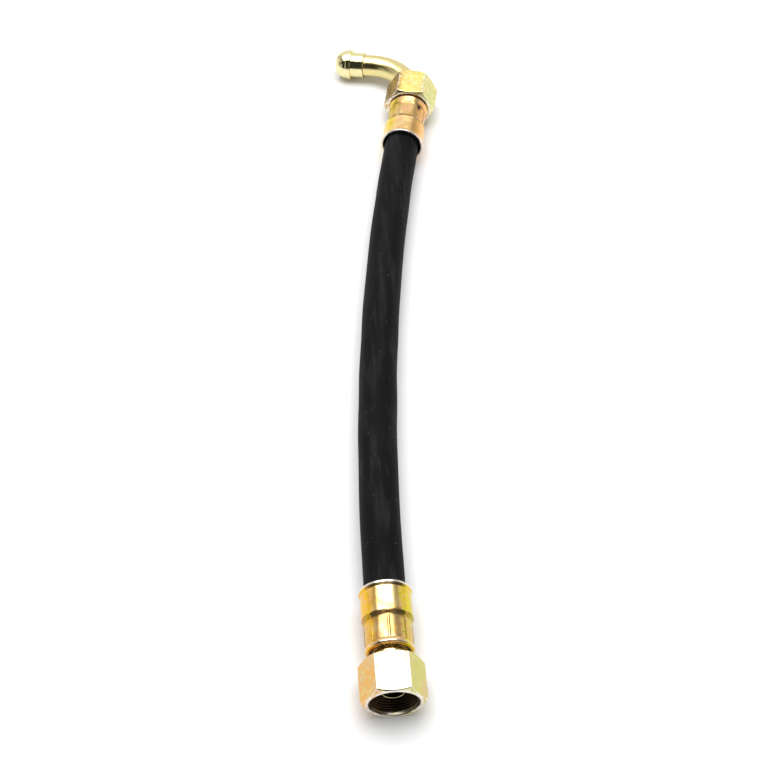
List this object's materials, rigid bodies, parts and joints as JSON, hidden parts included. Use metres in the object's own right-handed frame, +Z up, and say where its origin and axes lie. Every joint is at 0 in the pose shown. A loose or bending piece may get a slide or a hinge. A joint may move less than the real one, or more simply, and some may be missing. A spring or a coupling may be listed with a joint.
{
  "type": "hydraulic hose assembly",
  "caption": "Short rubber hydraulic hose with a straight and a swept elbow swivel fitting, each a crimped ferrule, a ball nose and a loose hexagon nut.",
  "frame": {"origin": "middle of the flat face at the tip of the straight fitting's ball nose", "axes": "+Y along the straight fitting's axis, from its nose towards the hose; +Z up, square to the flats that both nuts lie on; +X right, the side that the hose bends to"},
  "size_m": [0.0874, 0.537, 0.032],
  "materials": {
    "cover_rubber": "matte",
    "inner_rubber": "matte",
    "braid_wire": "satin",
    "ferrule_zinc": "gloss",
    "nut_zinc": "gloss",
    "nose_zinc": "polished",
    "braze_metal": "satin"
  },
  "bodies": {
    "root": {"hose_cover": "cover_rubber", "outer_braid": "braid_wire", "braid_interlayer": "inner_rubber", "inner_braid": "braid_wire", "hose_liner": "inner_rubber", "straight_ferrule": "ferrule_zinc", "straight_nipple": "nose_zinc", "elbow_ferrule": "ferrule_zinc", "elbow_insert": "nose_zinc", "insert_braze": "braze_metal", "elbow_tube": "nose_zinc", "nose_braze": "braze_metal", "ball_nose": "nose_zinc"},
    "straight_nut": {"straight_nut": "nut_zinc"},
    "elbow_nut": {"elbow_nut": "nut_zinc"}
  },
  "joints": [
    {"name": "straight_nut_spin", "type": "hinge", "parent": "root", "child": "straight_nut", "pos_m": [0, 0.00571, 0], "axis": [0, 1, 0], "continuous": true},
    {"name": "elbow_nut_spin", "type": "hinge", "parent": "root", "child": "elbow_nut", "pos_m": [0.0487, 0.47323, 0], "axis": [0.2079, 0.9781, 0], "continuous": true}
  ]
}
